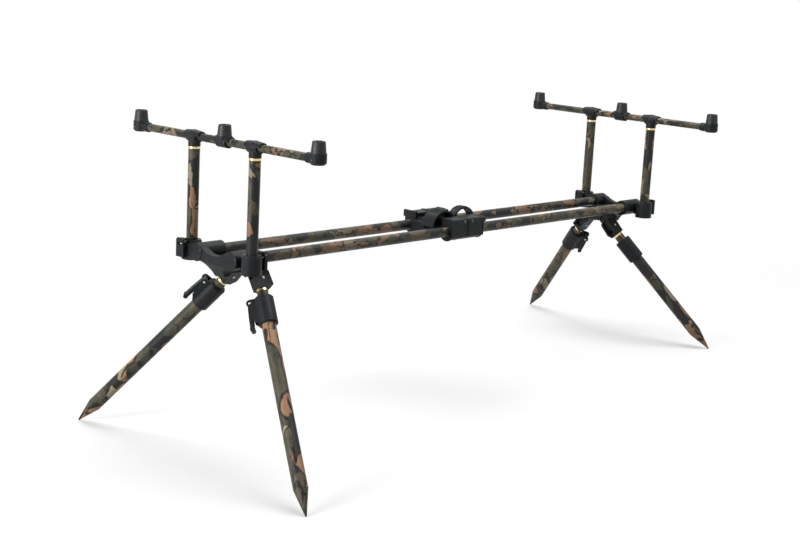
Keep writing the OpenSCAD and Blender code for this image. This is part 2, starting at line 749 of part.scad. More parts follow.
module leg_lock(end, side) {
    color(black) at_lock(end, side) difference() {
        union() {
            translate([0, 0, -lock_bottom + 1.5]) cylinder(r = lock_r, h = lock_len - 3);
            translate([0, 0, -lock_bottom]) cylinder(r = lock_r - 1, h = lock_len);
            for (s = [-1, 1]) translate([0, s * (ear_in + ear_out) / 2, 0])
                across_y(ear_out - ear_in) lock_ear();
        }
        translate([0, 0, -lock_bottom - 1]) cylinder(r = inner_leg_r + fit_gap, h = lock_len + 2);
        translate([0, 0, -lock_bottom - 1]) cylinder(r = outer_leg_r + fit_gap, h = tube_seat + 1);
        translate([lever_reach, -2 * ear_out, -lever_pin_depth]) along_y()
            cylinder(r = lever_pin_r + fit_gap, h = 4 * ear_out);
    }
}
// The pin is pressed into the lever's hub and turns in the ears
module lock_lever(end, side) {
    hub = [lever_reach, -lever_pin_depth];
    knee = hub + [2.6, -lever_len * 0.5];
    bulb = hub + [bulb_out, -lever_len];
    color(black) at_lock(end, side) difference() {
        across_y(2 * (ear_in - joint_gap)) {
            translate(hub) circle(lever_hub_r);
            slot2d(hub + [1.2, 0], knee, strap_t / 2);
            slot2d(knee, bulb, strap_t / 2);
            translate(bulb) circle(bulb_r);
        }
        translate([hub[0], -2 * ear_out, hub[1]]) along_y()
            cylinder(r = lever_pin_r + fit_gap, h = 4 * ear_out);
    }
    pin_w = 2 * ear_out + 2 * pin_proud;
    color(steel) at_lock(end, side) translate([hub[0], -pin_w / 2, hub[1]]) along_y()
        cylinder(r = lever_pin_r, h = pin_w);
}

function shown(name) = node == "all" || node == name;

if (shown("fold_pin")) on_ground() fold_pin();
for (e = ENDS) {
    if (shown(str(e[0], "_hinge_half"))) on_ground() hinge_half(e[1]);
    if (shown(str(e[0], "_bars"))) on_ground() bars(e[1]);
    if (shown(str(e[0], "_latch_pin"))) on_ground() latch_pin(e[1]);
    if (shown(str(e[0], "_latch_lever"))) on_ground() latch_lever(e[1]);
    if (shown(str(e[0], "_yoke"))) on_ground() yoke(e[1]);
    if (shown(str(e[0], "_socket_arms"))) on_ground() socket_arms(e[1]);
    if (shown(str(e[0], "_arm_dowels"))) on_ground() arm_dowels(e[1]);
    if (shown(str(e[0], "_leg_pins"))) on_ground() leg_pins(e[1]);
    if (shown(str(e[0], "_uprights"))) on_ground() uprights(e[1]);
    if (shown(str(e[0], "_upright_rings"))) on_ground() upright_rings(e[1]);
    if (shown(str(e[0], "_tees"))) on_ground() tees(e[1]);
    if (shown(str(e[0], "_rod_bar"))) on_ground() rod_bar(e[1]);
    if (shown(str(e[0], "_rod_holders"))) on_ground() rod_holders(e[1]);
    if (shown(str(e[0], "_rest_caps"))) on_ground() rest_caps(e[1]);
    if (shown(str(e[0], "_alarm_inserts"))) on_ground() alarm_inserts(e[1]);
}
for (c = CORNERS) {
    if (shown(str(c[0], "_clamp_lever"))) on_ground() clamp_lever(c[1], c[2]);
    if (shown(str(c[0], "_leg_bracket"))) on_ground() leg_bracket(c[1], c[2]);
    if (shown(str(c[0], "_leg_ring"))) on_ground() leg_ring(c[1], c[2]);
    if (shown(str(c[0], "_inner_leg"))) on_ground() inner_leg(c[1], c[2]);
    if (shown(str(c[0], "_outer_leg"))) on_ground() outer_leg(c[1], c[2]);
    if (shown(str(c[0], "_leg_lock"))) on_ground() leg_lock(c[1], c[2]);
    if (shown(str(c[0], "_lock_lever"))) on_ground() lock_lever(c[1], c[2]);
}
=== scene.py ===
import json
import math
import bpy
from mathutils import Matrix, Vector


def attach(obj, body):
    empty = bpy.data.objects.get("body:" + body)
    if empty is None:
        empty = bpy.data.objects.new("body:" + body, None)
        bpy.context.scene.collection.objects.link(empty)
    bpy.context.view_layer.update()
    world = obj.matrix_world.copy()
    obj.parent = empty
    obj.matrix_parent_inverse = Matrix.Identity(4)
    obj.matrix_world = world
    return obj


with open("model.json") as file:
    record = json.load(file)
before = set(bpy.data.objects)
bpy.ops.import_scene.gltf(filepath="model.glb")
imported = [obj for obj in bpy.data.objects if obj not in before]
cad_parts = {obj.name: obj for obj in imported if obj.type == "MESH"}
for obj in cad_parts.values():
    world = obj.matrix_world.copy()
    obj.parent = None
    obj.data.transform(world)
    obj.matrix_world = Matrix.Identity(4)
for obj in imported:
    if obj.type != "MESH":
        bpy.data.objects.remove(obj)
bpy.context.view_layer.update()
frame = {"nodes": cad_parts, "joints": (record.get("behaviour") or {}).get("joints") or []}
NODES = frame["nodes"]
JOINTS = {j["name"]: j for j in frame["joints"]}
ENDS = {"front": -1, "rear": 1}
SIDES = ("left", "right")
CORNERS = [f"{end}_{side}" for end in ENDS for side in SIDES]
BOTH = (-1, 1)
MM = 0.001

# Sizes of the pod, in millimetres and degrees, as the solids have them
PITCH = 3.34291
SHIFT = 25.9693
STAND = 257.002
END_X = 450.0
FACE_X = 464.3
BAR_Y = 37.0
DOWEL_R = 10.35
DOWEL_TURN = 25.0
ROD_BAR_Z = 156.4
REST_Y = 185.5
CUP_TOP = 163.7
CUP_R = 11.1
CAP_H = 15.6
INSERT_BASE = 2.2
INSERT_RECESS = 3.0
THREAD_R = 4.7
THREAD_PITCH = 1.27
ARCH_R = 27.0
ARCH_X = 27.8
ARCH_Z = 4.0
LATCH_W = {"front": 24.0, "rear": 14.0}
LATCH_Y = {"front": 14.0, "rear": -9.0}
HALF_LEN = 36.0
COLLAR_R = 14.0
HOUSING_DROP = 8.0
HOUSING_TOP = 20.0
HOUSING_CORNER = 4.0
PIN_HALF = {"latch": 51.3, "leg_fold": 9.0, "centre_fold": 24.3, "lock": 7.9, "clamp": 8.3}

# Sizes of the small pieces: heads are given as radius and height
DOWEL_HEAD = (1.6, 0.6)
LATCH_PIN_HEAD = (2.1, 0.6)
LEG_PIN_HEAD = (1.7, 0.8)
FOLD_PIN_HEAD = (2.6, 0.8)
LEVER_PIN_HEAD = (1.8, 0.6)
SCREW_HEAD = (1.4, 0.8)
SCREW_DROP = 1.0
MIDDLE_SCREW_OUT = 8.2
MIDDLE_SCREW_Y = 8.5
THREAD_RELIEF = 0.6
THREAD_RIDGE = 0.42
HOUSING_BEAD_R = 1.0
SEAM_X = 1.5
END_RIM_INSET = 1.2
RIM_FOOT = 0.4
RIM_SIDE_Z = 4.0
RIM_TOP_END = -6.0
COLLAR_RIM = (-130, -40)
COLLAR_RIM_POINTS = 14
CORNER_POINTS = 6
DISC_BEAD_R = 0.9
DISC_RIM_R = 11.8
DISC_RIM_SPAN = 62
DISC_RIM_POINTS = 20
GRIP_START = {"front": 64, "rear": -116}
GRIP_SWEEP = 52
GRIP_COUNT = 9
GRIP_LIFT = 0.05
GRIP_RIB_R = 0.75
GRIP_INSET = 2.0
SHARP_EDGE = 38

POD = Matrix.Translation((SHIFT * MM, 0, STAND * MM)) @ Matrix.Rotation(math.radians(PITCH), 4, "Y")
HALF_TURN = Matrix.Rotation(math.pi, 4, "Z")


def end_frame(end):
    """Frame of one end of the pod: bars along X, away from the middle."""
    return POD if end > 0 else POD @ HALF_TURN


def in_frame(base, x, y, z):
    return base @ Vector((x * MM, y * MM, z * MM))


def way(base, x, y, z):
    return (base.to_3x3() @ Vector((x, y, z))).normalized()


def new_object(name, data):
    made = bpy.data.objects.new(name, data)
    bpy.context.scene.collection.objects.link(made)
    return made


# Node trees


def plug(tree, node, sockets):
    """Sets a node's inputs, as values or as links from other nodes."""
    for key, value in sockets.items():
        if isinstance(value, bpy.types.NodeSocket):
            tree.links.new(value, node.inputs[key])
        else:
            node.inputs[key].default_value = value


def add(tree, kind, sockets=None, **settings):
    """A new node with its settings and inputs."""
    made = tree.nodes.new(kind)
    for key, value in settings.items():
        setattr(made, key, value)
    plug(tree, made, sockets or {})
    return made


def calc(tree, operation, a, b=0.0):
    return add(tree, "ShaderNodeMath", {0: a, 1: b}, operation=operation).outputs[0]


def blend(tree, factor, first, second, blend_type="MIX"):
    """Mixes two colours."""
    sockets = {0: factor, 6: first, 7: second}
    return add(tree, "ShaderNodeMix", sockets, data_type="RGBA", blend_type=blend_type).outputs[2]


def steps(tree, factor, low, high, to_low=0.0, to_high=1.0):
    """Takes low..high to to_low..to_high, and holds the ends."""
    sockets = {0: factor, 1: low, 2: high, 3: to_low, 4: to_high}
    return add(tree, "ShaderNodeMapRange", sockets).outputs[0]


def cloud(tree, place, scale, detail=2.0, rough=0.5, distortion=0.0):
    sockets = {"Vector": place, "Scale": scale, "Detail": detail, "Roughness": rough,
               "Distortion": distortion}
    return add(tree, "ShaderNodeTexNoise", sockets).outputs[0]


def bump(tree, height, strength, distance, **more):
    sockets = {"Strength": strength, "Distance": distance, "Height": height, **more}
    return add(tree, "ShaderNodeBump", sockets).outputs[0]


def soft_edge(tree, radius):
    return add(tree, "ShaderNodeBevel", {"Radius": radius}, samples=4).outputs[0]


def new_finish(name):
    """A material, its tree, its shader and the place on the piece."""
    finish = bpy.data.materials.new(name)
    finish.use_nodes = True
    tree = finish.node_tree
    tree.nodes.clear()
    shader = add(tree, "ShaderNodeBsdfPrincipled")
    add(tree, "ShaderNodeOutputMaterial", {"Surface": shader.outputs[0]})
    place = add(tree, "ShaderNodeTexCoord").outputs["Object"]
    return finish, tree, shader, place


# Finishes

OLIVE = (0.098, 0.083, 0.053, 1)
OLIVE_DEEP = (0.066, 0.056, 0.037, 1)
MOSS = (0.050, 0.052, 0.036, 1)
CHARCOAL = (0.017, 0.0175, 0.018, 1)
COPPER = (0.370, 0.205, 0.118, 1)
COPPER_DEEP = (0.270, 0.150, 0.088, 1)
SAND = (0.300, 0.245, 0.160, 1)
OUTLINE = (0.016, 0.012, 0.009, 1)
NYLON_DEEP = (0.0095, 0.0108, 0.0117, 1)
NYLON_PALE = (0.0160, 0.0180, 0.0194, 1)
# The lighter edge colour of the nylon is partly rubbed wear and partly a painted edge highlight.
NYLON_WEAR_AND_HIGHLIGHT = (0.090, 0.097, 0.103, 1)
RUBBER_DEEP = (0.0130, 0.0144, 0.0158, 1)
RUBBER_BLOOM = (0.0240, 0.0260, 0.0280, 1)
BRASS_BRIGHT = (0.860, 0.690, 0.360, 1)
BRASS_DULL = (0.620, 0.450, 0.190, 1)
STEEL_BRIGHT = (0.520, 0.525, 0.530, 1)
STEEL_DULL = (0.300, 0.300, 0.300, 1)
BLACKED_BRIGHT = (0.130, 0.132, 0.136, 1)
BLACKED_DULL = (0.070, 0.070, 0.072, 1)

# Camouflage: each layer of patches has an offset into the clouds and a scale beside the grain
PATCH_STRETCH = 1.7
PATCH_SOFT = 0.006
SHARD_SCALE = 2.6
SHARD_SHARE = 0.30
MOSS_LAYER = (3.1, 0.9)
DARK_LAYER = (7.7, 1.0)
WARM_LAYER = (13.3, 1.05)
LIGHT_LAYER = (19.9, 1.5)
STROKE_LAYER = (27.1, 1.3)
GROUND_CUT = 0.54
WARM_RIM = (0.032, 0.024)
LIGHT_CUT = 0.645
LIGHT_RIM = (0.605, 0.615)
STROKE_LEVEL = 0.47
STROKE_EDGE = (0.012, 0.006)
SATIN = (0.36, 0.50)
GRAIN_DEPTH = 0.0002


def camo_paint(name, axis, grain, seed, warm_cut, muted):
    """Woodland camouflage under a satin lacquer, with patches drawn out along the tube.

    A higher warm_cut leaves less copper, and muted takes the light patches towards the dark ground.
    """
    finish, tree, paint, place = new_finish(name)
    turn = Vector((0, 0, 1)).rotation_difference(Vector(axis)).to_euler()
    drawn = add(tree, "ShaderNodeMapping",
                {"Vector": place, "Location": seed, "Rotation": turn, "Scale": (1.0, 1.0, PATCH_STRETCH)},
                vector_type="TEXTURE").outputs[0]
    shards = add(tree, "ShaderNodeTexVoronoi", {"Vector": drawn, "Scale": grain * SHARD_SCALE})
    lay = add(tree, "ShaderNodeMix", {0: SHARD_SHARE, 4: drawn, 5: shards.outputs["Position"]},
              data_type="VECTOR").outputs[1]

    def field(offset, scale):
        start = (offset, offset * 0.7, -offset)
        moved = add(tree, "ShaderNodeVectorMath", {0: lay, 1: start}).outputs[0]
        return cloud(tree, moved, grain * scale, detail=1.5, rough=0.45, distortion=0.5)

    def patches(values, cut):
        return steps(tree, values, cut - PATCH_SOFT, cut + PATCH_SOFT)

    tone = cloud(tree, place, 60.0, detail=3.0)
    ground = blend(tree, steps(tree, tone, 0.35, 0.65), OLIVE, OLIVE_DEEP)
    ground = blend(tree, patches(field(*MOSS_LAYER), GROUND_CUT), ground, MOSS)
    ground = blend(tree, patches(field(*DARK_LAYER), GROUND_CUT), ground, CHARCOAL)

    pale = [Vector(c).lerp(Vector(OLIVE_DEEP), muted) for c in (COPPER, COPPER_DEEP, SAND)]
    copper = blend(tree, steps(tree, tone, 0.3, 0.7), pale[0], pale[1])
    warm = field(*WARM_LAYER)
    rim = steps(tree, warm, warm_cut - WARM_RIM[0], warm_cut - WARM_RIM[1])
    ground = blend(tree, rim, ground, OUTLINE)
    ground = blend(tree, patches(warm, warm_cut), ground, copper)

    light = field(*LIGHT_LAYER)
    ground = blend(tree, steps(tree, light, *LIGHT_RIM), ground, OUTLINE)
    ground = blend(tree, patches(light, LIGHT_CUT), ground, pale[2])

    stroke = calc(tree, "ABSOLUTE", calc(tree, "SUBTRACT", field(*STROKE_LAYER), STROKE_LEVEL))
    ground = blend(tree, steps(tree, stroke, *STROKE_EDGE), ground, OUTLINE)

    fine = cloud(tree, place, 900.0)
    speck = steps(tree, fine, 0.25, 0.75, 0.86, 1.1)
    scuff = cloud(tree, place, 240.0, detail=4.0, rough=0.6)
    plug(tree, paint, {
        "Base Color": blend(tree, 1.0, ground, speck, "MULTIPLY"),
        "Roughness": steps(tree, scuff, 0.3, 0.75, *SATIN),
        "Normal": bump(tree, fine, 0.08, GRAIN_DEPTH),
        "Specular IOR Level": 0.5,
        "IOR": 1.3,
    })
    return finish


def moulded_black():
    """Satin moulded nylon: fine grain, cloudy sheen, edges painted a little lighter, partly as rubbed
    wear and partly as a painted edge highlight.
    """
    finish, tree, nylon, place = new_finish("moulded_black")
    soft = soft_edge(tree, 0.0010)
    flat = add(tree, "ShaderNodeNewGeometry").outputs["True Normal"]
    facing = add(tree, "ShaderNodeVectorMath", {0: soft, 1: flat}, operation="DOT_PRODUCT")
    edge = steps(tree, facing.outputs["Value"], 0.995, 0.90)
    rubbing_and_highlight_cloud = cloud(tree, place, 130.0, detail=4.0, rough=0.6)
    # The edges are painted lighter: partly rubbed wear, partly a painted highlight along the edges.
    wear_and_highlight = calc(tree, "MULTIPLY", edge, steps(tree, rubbing_and_highlight_cloud, 0.35, 0.65, 0.25, 1.0))
    tone = cloud(tree, place, 45.0, detail=3.0)
    body = blend(tree, steps(tree, tone, 0.3, 0.7), NYLON_DEEP, NYLON_PALE)
    sheen = steps(tree, rubbing_and_highlight_cloud, 0.3, 0.7, *SATIN)
    grain = cloud(tree, place, 1500.0)
    plug(tree, nylon, {
        "Base Color": blend(tree, calc(tree, "MULTIPLY", wear_and_highlight, 0.6), body, NYLON_WEAR_AND_HIGHLIGHT),
        "Roughness": calc(tree, "SUBTRACT", sheen, calc(tree, "MULTIPLY", wear_and_highlight, 0.10)),
        "Normal": bump(tree, grain, 0.16, GRAIN_DEPTH, Normal=soft),
        "Specular IOR Level": 0.14,
    })
    return finish


def cap_rubber():
    """Rubber of the rest caps, with a faint bloom."""
    finish, tree, rubber, place = new_finish("cap_rubber")
    bloom = cloud(tree, place, 160.0, detail=4.0, rough=0.65)
    grain = cloud(tree, place, 2200.0)
    plug(tree, rubber, {
        "Base Color": blend(tree, steps(tree, bloom, 0.35, 0.7), RUBBER_DEEP, RUBBER_BLOOM),
        "Roughness": steps(tree, bloom, 0.3, 0.7, *SATIN),
        "Normal": bump(tree, grain, 0.2, GRAIN_DEPTH, Normal=soft_edge(tree, 0.0006)),
        "Specular IOR Level": 0.30,
    })
    return finish


def metal(name, bright, dull, polish):
    """Turned metal: tarnish in soft clouds, fine turning marks and an uneven polish."""
    finish, tree, bare, place = new_finish(name)
    tarnish = cloud(tree, place, 320.0, detail=4.0, rough=0.6)
    marks = cloud(tree, place, 1800.0, detail=3.0, rough=0.7)
    plug(tree, bare, {
        "Base Color": blend(tree, steps(tree, tarnish, 0.42, 0.72), bright, dull),
        "Metallic": 1.0,
        "Roughness": steps(tree, marks, 0.3, 0.7, *polish),
        "Normal": bump(tree, marks, 0.10, 0.0001),
    })
    return finish


NYLON = moulded_black()
RUBBER = cap_rubber()
BRASS = metal("ring_brass", BRASS_BRIGHT, BRASS_DULL, (0.16, 0.30))
STEEL = metal("pin_steel", STEEL_BRIGHT, STEEL_DULL, (0.26, 0.42))
DARK_STEEL = metal("blackened_steel", BLACKED_BRIGHT, BLACKED_DULL, (0.34, 0.50))

# The finish of each node by the end of its name; all others are nylon
FINISHES = {
    "bars": camo_paint("camo_bars", way(POD, 1, 0, 0), grain=38.0, seed=(0.0, 0.0, 0.0),
                       warm_cut=0.595, muted=0.6),
    "uprights": camo_paint("camo_uprights", way(POD, 0, 0, 1), grain=36.0, seed=(0.52, 0.07, 0.23),
                           warm_cut=0.59, muted=0.25),
    "rod_bar": camo_paint("camo_rod_bar", (0, 1, 0), grain=46.0, seed=(0.07, 0.21, 0.40),
                          warm_cut=0.59, muted=0.5),
    "upright_rings": BRASS,
    "leg_ring": BRASS,
    "alarm_inserts": BRASS,
    "rest_caps": RUBBER,
    "fold_pin": DARK_STEEL,
    "latch_pin": DARK_STEEL,
    "arm_dowels": DARK_STEEL,
    "leg_pins": DARK_STEEL,
}
LEG_GRAIN = 27.0
# The rear legs' patches are muted darker and made fewer as painted shade, for the light falling off
# towards the rear.
LEG_TONES_AND_REAR_SHADE = {"front": {"warm_cut": 0.572, "muted": 0.0}, "rear": {"warm_cut": 0.590, "muted": 0.45}}
LEG_SEED_FIRST = 3
LEG_SEED_STEP = 0.11
for number, corner in enumerate(CORNERS, LEG_SEED_FIRST):
    along = Vector(JOINTS[f"{corner}_leg_slide"]["axis"]).normalized()
    seed = (LEG_SEED_STEP * number, 0.23, 0.17)
    tones = LEG_TONES_AND_REAR_SHADE[corner.split("_")[0]]
    paint = camo_paint(f"camo_{corner}_leg", along, LEG_GRAIN, seed, **tones)
    FINISHES[f"{corner}_inner_leg"] = paint
    FINISHES[f"{corner}_outer_leg"] = paint

for name, solid in NODES.items():
    found = [finish for ending, finish in FINISHES.items() if name.endswith(ending)]
    solid.data.materials.clear()
    solid.data.materials.append(found[0] if found else NYLON)


# Small pieces


def turned(name, profile, sides=28, socket=()):
    """A turned shape from (radius, height) points; the points numbered in socket are six-sided."""
    sixth = math.pi / 3
    verts, rings = [], []
    for i, (r, z) in enumerate(profile):
        ring = []
        for k in range(1 if r == 0 else sides):
            angle = 2 * math.pi * k / sides
            flat = 1
            if i in socket:
                flat = math.cos(sixth / 2) / math.cos(angle % sixth - sixth / 2)
            ring.append(len(verts))
            verts.append((r * flat * math.cos(angle), r * flat * math.sin(angle), z))
        rings.append(ring)
    faces = []
    for low, high in zip(rings, rings[1:]):
        for k in range(sides):
            quad = [low[k % len(low)], low[(k + 1) % len(low)],
                    high[(k + 1) % len(high)], high[k % len(high)]]
            faces.append([v for n, v in enumerate(quad) if v not in quad[:n]])
    mesh = bpy.data.meshes.new(name)
    mesh.from_pydata(verts, [], faces)
    mesh.update()
    return new_object(name, mesh)


def new_tree(name, **inputs):
    """A geometry tree with named inputs; returns it, its given values and the inputs' identifiers."""
    tree = bpy.data.node_groups.new(name, "GeometryNodeTree")
    sockets = tree.interface
    sockets.new_socket("Geometry", in_out="INPUT", socket_type="NodeSocketGeometry")
    sockets.new_socket("Geometry", in_out="OUTPUT", socket_type="NodeSocketGeometry")
    keys = {}
    for label, kind in {**inputs, "Finish": "Material"}.items():
        made = sockets.new_socket(label, in_out="INPUT", socket_type=f"NodeSocket{kind}")
        keys[label] = made.identifier
    return tree, add(tree, "NodeGroupInput").outputs, keys


def close_tree(tree, given, instances):
    real = add(tree, "GeometryNodeRealizeInstances", {0: instances}).outputs[0]
    done = add(tree, "GeometryNodeSetMaterial", {0: real, "Material": given["Finish"]}).outputs[0]
    add(tree, "NodeGroupOutput", {0: done})


def swept(tree, path, section):
    sockets = {"Curve": path, "Profile Curve": section, "Fill Caps": True}
    return add(tree, "GeometryNodeCurveToMesh", sockets).outputs[0]


def circle(tree, radius, corners):
    sockets = {"Resolution": corners, "Radius": radius}
    return add(tree, "GeometryNodeCurvePrimitiveCircle", sockets).outputs[0]


def shape_of(tree, master):
    return add(tree, "GeometryNodeObjectInfo", {"Object": master}).outputs["Geometry"]


def scaled(tree, across, along):
    return add(tree, "ShaderNodeCombineXYZ", {0: across, 1: across, 2: along}).outputs[0]


def stand_on_spots(tree, given, instance, **more):
    """Sets an instance on each spot, standing along the spot's own axis."""
    axis = add(tree, "GeometryNodeInputNamedAttribute", {"Name": "axis"}, data_type="FLOAT_VECTOR")
    stand = add(tree, "FunctionNodeAlignRotationToVector", {"Vector": axis.outputs[0]}, axis="Z")
    sockets = {"Points": given[0], "Instance": instance, "Rotation": stand.outputs[0], **more}
    return add(tree, "GeometryNodeInstanceOnPoints", sockets).outputs[0]


def heads_tree():
    """A head on each spot."""
    tree, given, keys = new_tree("set_heads", Head="Object", Radius="Float", Height="Float")
    size = scaled(tree, given["Radius"], given["Height"])
    close_tree(tree, given, stand_on_spots(tree, given, shape_of(tree, given["Head"]), Scale=size))
    return tree, keys


def thread_tree():
    """A thread wound inside a socket, on each spot."""
    tree, given, keys = new_tree("socket_thread", Radius="Float", Depth="Float", Turns="Float",
                                 Ridge="Float")
    wound = add(tree, "GeometryNodeCurveSpiral",
                {"Resolution": 28, "Rotations": given["Turns"], "Start Radius": given["Radius"],
                 "End Radius": given["Radius"], "Height": given["Depth"]}).outputs[0]
    ridge = swept(tree, wound, circle(tree, given["Ridge"], 4))
    close_tree(tree, given, stand_on_spots(tree, given, ridge))
    return tree, keys


def ribs_tree():
    """Round ribs laid side by side on an arc about each spot, each rib along the spot's axis."""
    tree, given, keys = new_tree("arch_ribs", Rib="Object", Arc="Float", Start="Float", Sweep="Float",
                                 Count="Int", Thickness="Float", Length="Float")
    bow = add(tree, "GeometryNodeCurveArc",
              {"Resolution": 64, "Radius": given["Arc"], "Start Angle": given["Start"],
               "Sweep Angle": given["Sweep"]}, mode="RADIUS").outputs[0]
    seats = add(tree, "GeometryNodeCurveToPoints", {"Curve": bow, "Count": given["Count"]}, mode="COUNT")
    row = add(tree, "GeometryNodeInstanceOnPoints",
              {"Points": seats.outputs[0], "Instance": shape_of(tree, given["Rib"]),
               "Scale": scaled(tree, given["Thickness"], given["Length"])}).outputs[0]
    close_tree(tree, given, stand_on_spots(tree, given, row))
    return tree, keys


def beads_tree():
    """A round bead along each path of edges."""
    tree, given, keys = new_tree("moulded_beads", Bead="Float")
    path = add(tree, "GeometryNodeMeshToCurve", {0: given[0]}).outputs[0]
    close_tree(tree, given, swept(tree, path, circle(tree, given["Bead"], 10)))
    return tree, keys


def grow(name, body, spots, made, values, edges=()):
    """Runs a tree on (place, axis) spots and their edges, and leaves one plain mesh on the body."""
    tree, keys = made
    seat = bpy.data.meshes.new(name + "_spots")
    seat.from_pydata([place for place, _ in spots], edges, [])
    axes = [part for _, axis in spots for part in axis]
    seat.attributes.new("axis", "FLOAT_VECTOR", "POINT").data.foreach_set("vector", axes)
    carrier = new_object(name + "_spots", seat)
    modifier = carrier.modifiers.new("grow", "NODES")
    modifier.node_group = tree
    for label, value in values.items():
        modifier[keys[label]] = value
    graph = bpy.context.evaluated_depsgraph_get()
    mesh = bpy.data.meshes.new_from_object(carrier.evaluated_get(graph), depsgraph=graph)
    carrier.modifiers.remove(modifier)
    bpy.data.objects.remove(carrier)
    mesh.shade_smooth()
    mesh.set_sharp_from_angle(angle=math.radians(SHARP_EDGE))
    mesh.name = name
    piece = new_object(name, mesh)
    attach(piece, body)


DOME = turned("dome_head", [
    (0, -0.5), (0.9, -0.5), (1, -0.4), (1, 0.15), (0.95, 0.36), (0.8, 0.64), (0.55, 0.86),
    (0.3, 0.96), (0.22, 0.90), (0, 0.88)])
SCREW = turned("screw_head", [
    (0, -0.5), (0.9, -0.5), (1, -0.4), (1, 0.45), (0.93, 0.75), (0.75, 0.95), (0.58, 1.0),
    (0.55, 0.97), (0.55, 0.25), (0, 0.2)], socket=(7, 8))
RIB = turned("grip_rib", [
    (0, -0.5), (0.55, -0.49), (0.9, -0.465), (1, -0.43), (1, 0.43), (0.9, 0.465), (0.55, 0.49),
    (0, 0.5)], sides=12)
HEADS = heads_tree()
THREAD = thread_tree()
RIBS = ribs_tree()
BEADS = beads_tree()


def pin_ends(joint, half):
    """Both ends of the pin of a joint, as (place, axis)."""
    middle = Vector(JOINTS[joint]["pos_m"])
    axis = Vector(JOINTS[joint]["axis"]).normalized()
    return [(middle + axis * s * half * MM, axis * s) for s in BOTH]


def heads(name, body, spots, shape, size, finish=STEEL):
    radius, height = size
    grow(name, body, spots, HEADS,
         {"Head": shape, "Radius": radius * MM, "Height": height * MM, "Finish": finish})


def beads(name, body, paths, radius):
    """Moulded beads along paths of points."""
    spots, edges = [], []
    for path in paths:
        edges += [(len(spots) + k, len(spots) + k + 1) for k in range(len(path) - 1)]
        spots += [(point, (0, 0, 1)) for point in path]
    grow(name, body, spots, BEADS, {"Bead": radius * MM, "Finish": NYLON}, edges)


def arc(radius, start, stop, count, y=0.0, z=0.0):
    """Points (y, z) on an arc, between two angles in degrees."""
    turns = [math.radians(start + (stop - start) * k / (count - 1)) for k in range(count)]
    return [(y + radius * math.cos(a), z + radius * math.sin(a)) for a in turns]


# Outlines of the hinge housing about its bar, as (outwards, up)
HOUSING_SIDE = [
    (COLLAR_R, RIM_FOOT - HOUSING_DROP),
    (COLLAR_R, RIM_SIDE_Z),
    *arc(HOUSING_CORNER, 0, 90, CORNER_POINTS, COLLAR_R - HOUSING_CORNER, HOUSING_TOP - HOUSING_CORNER),
    (0.0, HOUSING_TOP),
    (RIM_TOP_END, HOUSING_TOP),
]
HOUSING_END = arc(COLLAR_R, *COLLAR_RIM, COLLAR_RIM_POINTS) + HOUSING_SIDE
HOUSING_RIMS = ((SEAM_X, HOUSING_SIDE), (HALF_LEN - END_RIM_INSET, HOUSING_END))
DISC_RIM = arc(DISC_RIM_R, -DISC_RIM_SPAN, DISC_RIM_SPAN, DISC_RIM_POINTS)
DOWEL_Y = DOWEL_R * math.cos(math.radians(DOWEL_TURN))
DOWEL_Z = DOWEL_R * math.sin(math.radians(DOWEL_TURN))
THREAD_DEPTH = CAP_H - INSERT_RECESS - INSERT_BASE - THREAD_RELIEF

for end, sign in ENDS.items():
    base = end_frame(sign)
    half, goalpost = f"{end}_half", f"{end}_goalpost"
    outwards, across, up = way(base, 1, 0, 0), way(base, 0, 1, 0), way(base, 0, 0, 1)

    rims = [[in_frame(base, x, s * (BAR_Y + y), z) for y, z in outline]
            for s in BOTH for x, outline in HOUSING_RIMS]
    beads(f"{end}_housing_rims", half, rims, HOUSING_BEAD_R)
    discs = [[in_frame(base, FACE_X, s * BAR_Y + y, z) for y, z in DISC_RIM] for s in BOTH]
    beads(f"{end}_disc_rims", half, discs, DISC_BEAD_R)

    dowels = [(in_frame(base, FACE_X, s * BAR_Y + DOWEL_Y, DOWEL_Z), outwards) for s in BOTH]
    heads(f"{end}_dowel_heads", half, dowels, DOME, DOWEL_HEAD, DARK_STEEL)
    latch = pin_ends(f"{end}_latch", PIN_HALF["latch"])
    heads(f"{end}_latch_pin_heads", half, latch, DOME, LATCH_PIN_HEAD, DARK_STEEL)
    legs = [spot for s in SIDES for spot in pin_ends(f"{end}_{s}_leg_fold", PIN_HALF["leg_fold"])]
    heads(f"{end}_leg_pin_heads", half, legs, DOME, LEG_PIN_HEAD)

    screws = [in_frame(base, END_X + CUP_R, s * REST_Y, ROD_BAR_Z - SCREW_DROP) for s in BOTH]
    screws.append(in_frame(base, END_X + MIDDLE_SCREW_OUT, MIDDLE_SCREW_Y, ROD_BAR_Z))
    screws = [(place, outwards) for place in screws]
    heads(f"{end}_holder_screws", goalpost, screws, SCREW, SCREW_HEAD, DARK_STEEL)
    sockets = [(in_frame(base, END_X, y, CUP_TOP + INSERT_BASE), up) for y in (-REST_Y, 0, REST_Y)]
    grow(f"{end}_socket_threads", goalpost, sockets, THREAD,
         {"Radius": THREAD_R * MM, "Depth": THREAD_DEPTH * MM, "Turns": THREAD_DEPTH / THREAD_PITCH,
          "Ridge": THREAD_RIDGE * MM, "Finish": BRASS})

    crown = [(in_frame(base, ARCH_X, LATCH_Y[end], ARCH_Z), across)]
    grow(f"{end}_latch_grip", f"{end}_latch_lever", crown, RIBS,
         {"Rib": RIB, "Arc": (ARCH_R + GRIP_LIFT) * MM, "Start": math.radians(GRIP_START[end]),
          "Sweep": math.radians(GRIP_SWEEP), "Count": GRIP_COUNT, "Thickness": GRIP_RIB_R * MM,
          "Length": (LATCH_W[end] - GRIP_INSET) * MM, "Finish": NYLON})

